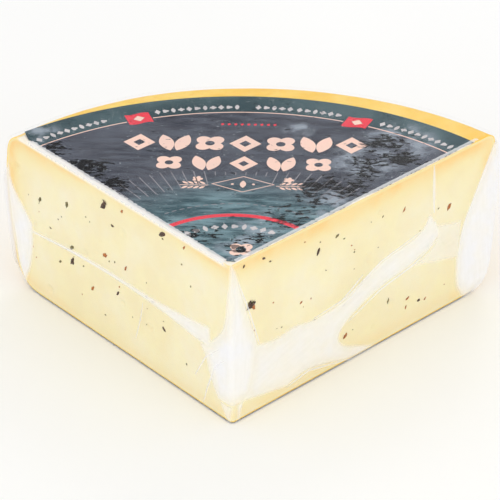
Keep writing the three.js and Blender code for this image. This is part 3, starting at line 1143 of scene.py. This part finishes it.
def inner_wall_material():
    """The bag's inside, wetted by the cheese, so that it shows next to nothing."""
    material, tree, shader = new_material("film_inner_wall")
    shader.inputs["Base Color"].default_value = (0.95, 0.95, 0.94, 1.0)
    share = product(tree, mottle(tree, places(tree), 20 * MM, 0.3, 0.7), 0.01)
    clear = add_node(tree, "BsdfTransparent", {}).outputs[0]
    mixed = add_node(tree, "MixShader", {0: share, 1: clear, 2: shader.outputs[0]})
    tree.links.new(mixed.outputs[0], tree.nodes["Material Output"].inputs["Surface"])
    return material


bag_film = film_material()
inner_wall = inner_wall_material()


def give_film(piece, covers, drawn, wall_side):
    """Stores the film's cover and streaks on a sheet, and gives it its wall: outside it where
    wall_side is 1, inside it where that is -1."""
    attribute = piece.data.attributes.new("cover", "FLOAT", "POINT")
    attribute.data.foreach_set("value", covers)
    attribute = piece.data.attributes.new("drawn", "FLOAT_VECTOR", "POINT")
    attribute.data.foreach_set("vector", np.c_[drawn * MM, np.zeros(len(drawn))].ravel())
    wall = piece.modifiers.new("wall", "SOLIDIFY")
    wall.thickness = FILM_WALL
    wall.offset = wall_side
    wall.material_offset = 1
    piece.data.materials.append(bag_film)
    piece.data.materials.append(inner_wall)
    select_only(piece)
    bpy.ops.object.modifier_apply(modifier=wall.name)
    turn_faces_out()
    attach(piece, "root")


bag_stations = stations_round(tip_steps=4, cut_steps=180, rind_steps=48)
bag_rises = list(skin_rises(rows=98))
bag_spots = [(station, rise) for station in bag_stations for rise in bag_rises]
bag_plan = np.array([unrolled(*spot) for spot in bag_spots])
bag_folds = dict(zip(bag_spots, zip(*fold_pleats(bag_plan))))


def bag_point(station, rise):
    sway = noise.noise(film_place(station, rise, 0) * 26) * FILM_SWAY
    share = min(1.0, min(rise, 1 - rise) * FILM_HEIGHT / PLEAT_FLATTENING)
    return film_place(station, rise, sway + bag_folds[station, rise][1] * share)


bag, spots = draw_up_wedge("film_bag_skin", bag_stations, bag_rises, bag_point)
covers, _, drawn = zip(*[bag_folds[spot] for spot in spots])
give_film(bag, np.array(covers), np.array(drawn), -1)
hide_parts("film_bag")


# ---- The bag's edges and creases ------------------------------------------------------------
# Along the top edges and in a few sharp creases the film is pinched double: narrow white strips,
# laid on the bag and shaped to it. Their white is partly painted highlight: it stands in for the
# glare along the top edges and the glints on the creases.

STRIP_LIFT = 0.15 * MM
STRIP_CELL = 1.4 * MM
STRIP_STEP = 0.9  # mm from point to point along a ragged edge
EDGE_CUTS = (0.0, 0.1, 0.3, 0.7)  # rows round the bag's edge, as shares of its rounding
CREASE_SLANT = 20
CREASE_COVER = 0.6
# The creases' milky white is partly painted highlight, for the glints along their ridges.
CREASES = [  # points in the unrolled bag in mm, and widths
    ([(117.6, 75.6), (117.8, 64), (118.2, 52)], 1.5),
    ([(60, 31.5), (68, 35.5), (75, 40)], 0.9),
    ([(63, 29.5), (72, 34), (80, 38.5)], 0.7),
    ([(-3, 30), (-9, 24), (-14, 12), (-17, 3)], 0.8),
    ([(-6, 34), (-15, 26), (-22, 14)], 0.7),
    ([(-137, 32.0), (-107, 35.2), (-80, 36.4), (-56, 36.6)], 0.8),
    ([(66, 20.5), (86, 28), (106, 31.5), (121, 38)], 0.9),
    ([(46, 31.2), (66, 33), (86, 41.7), (110, 46.2)], 0.8),
    ([(156, 72), (148, 57), (138, 39), (134.4, 24)], 0.9),
    ([(4, 66), (9, 52), (15, 33)], 0.8),
    ([(30, 4.6), (43, 7.0), (68, 1.4)], 0.8),
    ([(-62, 12), (-58, 24), (-56, 33)], 0.5),
]


def wrap_on_bag(run, height, lift):
    """Where a place in the unrolled bag is on the wedge, lift outside the bag. Its run is the way
    from the tip, right positive."""
    over = max(0.0, height - film_high.z)
    rise = min(1.0, max(0.0, (height - film_low.z) / FILM_HEIGHT))
    side = math.copysign(1, run)
    corner, length = corner_of(side, rise, FILM_PROUD + lift)
    if abs(run) <= length:
        station = run / length
    else:
        station = side * (1 + (abs(run) - length) / (corner * WHEEL_RADIUS))
    if over:
        x, y = skin_point(station, 1, FILM_PROUD - FILM_EDGE_ROUND - over)
        return Vector((x, y, film_high.z + lift))
    up = max(0.0, 1 - (1 - rise) * FILM_HEIGHT / FILM_EDGE_ROUND)
    return film_place(station, rise, lift * math.sqrt(1 - up ** 2)) + Vector((0, 0, lift * up))


def cut_into_cells(corners):
    """Cuts the sheet that is being edited into cells small enough to wrap."""
    for axis in (0, 1):
        low, high = corners[:, axis].min(), corners[:, axis].max()
        cuts = list(np.arange(low + STRIP_CELL, high, STRIP_CELL))
        if axis == 1:
            cuts += [film_high.z - FILM_EDGE_ROUND * share for share in EDGE_CUTS]
        for cut in cuts:
            if low < cut < high:
                place, normal = [0, 0, 0], [0, 0, 0]
                place[axis], normal[axis] = cut, 1
                bpy.ops.mesh.select_all(action="SELECT")
                bpy.ops.mesh.bisect(plane_co=place, plane_no=normal)
    bpy.ops.mesh.select_all(action="SELECT")
    bpy.ops.mesh.remove_doubles(threshold=0.01 * MM)


def strip(name, outline, cover, slant=0.0, lift=STRIP_LIFT):
    """A sheet of film laid on the bag, cut to an outline in mm in the unrolled bag."""
    piece = cut_sheet(name, [[(x * MM, y * MM) for x, y in outline]])
    corners = np.array([vertex.co[:] for vertex in piece.data.vertices])
    bpy.ops.object.mode_set(mode="EDIT")
    cut_into_cells(corners)
    bpy.ops.object.mode_set(mode="OBJECT")
    flat = np.array([vertex.co[:2] for vertex in piece.data.vertices])
    for vertex in piece.data.vertices:
        vertex.co = wrap_on_bag(vertex.co.x, vertex.co.y, lift)
    give_film(piece, np.full(len(flat), cover), slanted(flat / MM, slant), 1)
    bpy.ops.object.shade_smooth_by_angle(angle=SMOOTH_ANGLE)


def crease_outline(points, width):
    """A narrow outline along a line of points, pointed at both ends."""
    points = np.array(points, dtype=float)
    runs = np.linspace(0, len(points) - 1, 4 * len(points) - 3)
    line = np.c_[np.interp(runs, np.arange(len(points)), points[:, 0]),
                 np.interp(runs, np.arange(len(points)), points[:, 1])]
    ways = np.gradient(line, axis=0)
    ways /= np.linalg.norm(ways, axis=1)[:, None]
    across = np.c_[-ways[:, 1], ways[:, 0]]
    half = (width / 2 * np.sin(np.pi * np.linspace(0.03, 0.97, len(line))) ** 0.6)[:, None]
    return np.vstack([line + across * half, (line - across * half)[::-1]])


def ragged(start, end, height, rough, seed):
    """A ragged line along the unrolled bag, for the edge of a strip."""
    count = round(abs(end - start) / STRIP_STEP)
    return [(x, height + rough * noise.noise(Vector((x * 0.8, seed, 0))))
            for x in np.linspace(start, end, count + 1)]


# The edge strips are partly painted highlight: their milky white stands in for the glare along the
# bag's top edges.
left_edge = ragged(-3, -134, 77.4, 1.0, 1) + ragged(-134, -3, 75.5, 1.3, 2)
right_edge = ragged(3, 146, 77.0, 0.5, 3) + ragged(146, 3, 76.4, 0.4, 4)
strip("film_left_edge_glare", left_edge, 0.62)
strip("film_right_edge_glare", right_edge, 0.6)
for number, (points, width) in enumerate(CREASES):
    strip(f"film_crease_glint_{number + 1}", crease_outline(points, width), CREASE_COVER, CREASE_SLANT,
          STRIP_LIFT + PLEAT_HEIGHT)


# ---- The bag's end seal ---------------------------------------------------------------------
# The bag's mouth, welded shut across its width and folded down flat against the rind. The weld is
# pressed in fine ribs that run the seal's length.

SEAL_START, SEAL_END = 159.6, 373.0  # mm in the unrolled bag
SEAL_BOTTOM, SEAL_TOP = 27.4, 38.0
SEAL_COLUMNS, SEAL_ROWS = 150, 44
SEAL_SAG = 0.5  # mm by which the seal wanders up and down
SEAL_RIB_PITCH = 1.1
SEAL_RIB_HEIGHT = 0.22 * MM
SEAL_BORDERS = 1.5, 1.2  # mm without ribs along its lower and upper edge
SEAL_RIB_FADE = 0.5  # mm over which the ribs rise from the borders
SEAL_CLEAR_BORDERS = 1.2, 1.0  # mm that hide less than the weld does
SEAL_COVER_FADE = 0.8
SEAL_COVERS = 0.62, 0.92  # of its borders and of its weld


def seal_ribs(height):
    """How high the seal's ribs stand at a height, as a share."""
    below, above = SEAL_BORDERS
    inside = min(height - SEAL_BOTTOM - below, SEAL_TOP - above - height) / SEAL_RIB_FADE
    rib = 0.5 + 0.5 * math.cos(2 * math.pi * (height - SEAL_BOTTOM) / SEAL_RIB_PITCH)
    return rib * min(1.0, max(0.0, inside))


deselect_all()
bpy.ops.mesh.primitive_grid_add(x_subdivisions=SEAL_COLUMNS, y_subdivisions=SEAL_ROWS, size=1)
seal = bpy.context.object
seal.name = "bag_seal"
flat = np.array([vertex.co[:2] for vertex in seal.data.vertices]) + 0.5
flat = flat * (SEAL_END - SEAL_START, SEAL_TOP - SEAL_BOTTOM) + (SEAL_START, SEAL_BOTTOM)
for vertex, (run, height) in zip(seal.data.vertices, flat):
    sag = SEAL_SAG * noise.noise(Vector((run * 0.05, 2, 0)))
    lift = PLEAT_HEIGHT + STRIP_LIFT + SEAL_RIB_HEIGHT * seal_ribs(height)
    vertex.co = wrap_on_bag(run * MM, (height + sag) * MM, lift)
below, above = SEAL_CLEAR_BORDERS
inside = np.minimum(flat[:, 1] - SEAL_BOTTOM - below, SEAL_TOP - above - flat[:, 1])
welded = smooth_share(inside / SEAL_COVER_FADE)
border_cover, weld_cover = SEAL_COVERS
give_film(seal, border_cover + (weld_cover - border_cover) * welded, flat, 1)
bpy.ops.object.shade_smooth_by_angle(angle=SMOOTH_ANGLE)
